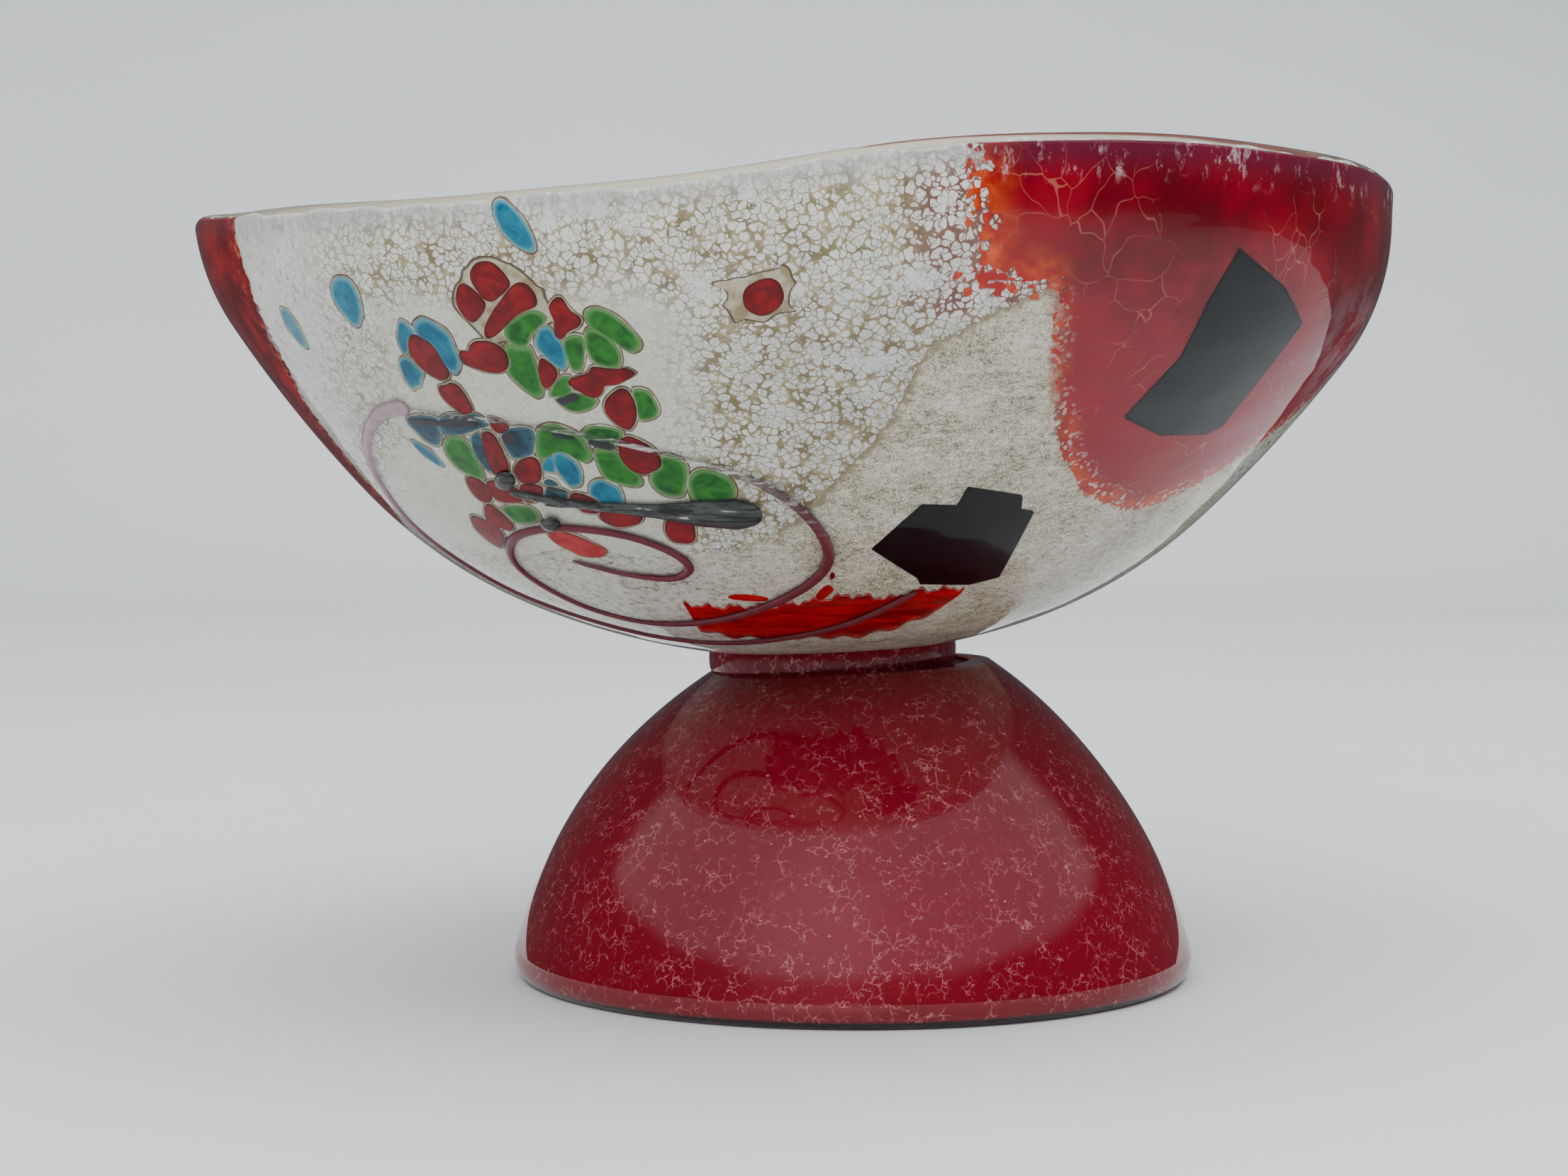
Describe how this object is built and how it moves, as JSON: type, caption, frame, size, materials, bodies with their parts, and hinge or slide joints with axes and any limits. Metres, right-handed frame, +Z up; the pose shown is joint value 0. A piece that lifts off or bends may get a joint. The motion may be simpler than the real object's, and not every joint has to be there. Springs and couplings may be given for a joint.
{
  "type": "art glass bowl",
  "caption": "Footed art glass bowl with a wavy rim, fused glass decoration, a clear collar and a ruby dome foot.",
  "frame": {"origin": "centre of the bounding box at its base, on the table", "axes": "+X to the right across the decorated front, +Y to the back, +Z up; the decorated front faces -Y"},
  "size_m": [0.2768, 0.2768, 0.1894],
  "materials": {
    "clear_glass": "polished clear",
    "white_enamel": "glossy crackled",
    "beige_enamel": "glossy",
    "panel_red": "glossy",
    "band_red": "glossy",
    "silver": "mottled leaf under glass",
    "tile_grey": "glossy",
    "tile_black": "glossy",
    "strip_red": "glossy",
    "ruby_chip": "glossy",
    "green_chip": "glossy",
    "blue_chip": "glossy",
    "deep_blue_chip": "glossy",
    "amethyst": "glossy",
    "rose_glass": "polished",
    "foot_silver": "torn leaf under glass",
    "foot_ruby": "glossy"
  },
  "bodies": {
    "root": {"bowl_outer_casing": "clear_glass", "white_crackle": "white_enamel", "beige_ground": "beige_enamel", "bowl_inner_casing": "clear_glass", "red_panel": "panel_red", "red_edge_band": "band_red", "silver_leaf": "silver", "upper_black_tile": "tile_grey", "lower_black_tile": "tile_black", "red_strip": "strip_red", "beige_halo": "beige_enamel", "red_butterfly": "ruby_chip", "blue_chip_near_rim": "blue_chip", "blue_chip_left": "blue_chip", "blue_sliver_left": "blue_chip", "red_chip_alone": "ruby_chip", "red_chip_trio_top": "ruby_chip", "red_chip_trio_long": "ruby_chip", "red_chip_trio_left": "ruby_chip", "red_chip_propeller": "ruby_chip", "green_chip_crescent": "green_chip", "green_chip_upper_right": "green_chip", "green_chip_right_mid": "green_chip", "blue_chip_mid": "blue_chip", "red_chip_tail": "ruby_chip", "red_chip_star": "ruby_chip", "red_chip_wedge": "ruby_chip", "green_chip_long": "green_chip", "red_chip_round": "ruby_chip", "green_chip_edge": "green_chip", "green_chip_pair": "green_chip", "red_chip_on_blue": "ruby_chip", "red_chip_link": "ruby_chip", "blue_chip_fan": "blue_chip", "blue_sliver_low": "blue_chip", "blue_chip_deep": "deep_blue_chip", "blue_chip_dark_left": "deep_blue_chip", "blue_chip_dark_mid": "deep_blue_chip", "green_chip_centre": "green_chip", "green_chip_thread_side": "green_chip", "red_chip_dark_round": "ruby_chip", "green_chip_beside": "green_chip", "green_chip_right": "green_chip", "green_chip_end": "green_chip", "blue_chip_low_mid": "blue_chip", "green_chip_low_left": "green_chip", "green_chip_pale": "green_chip", "red_chip_low": "ruby_chip", "blue_chip_rod_end": "blue_chip", "red_chip_rod_under": "ruby_chip", "red_chip_cube": "ruby_chip", "red_chip_bright": "ruby_chip", "spiral_thread_outer": "amethyst", "spiral_thread_inner": "amethyst", "clear_rod": "clear_glass", "clear_bead": "clear_glass", "joining_collar": "clear_glass", "foot_clear_casing": "rose_glass", "foot_silver_leaf": "foot_silver", "foot_ruby": "foot_ruby"}
  },
  "joints": []
}
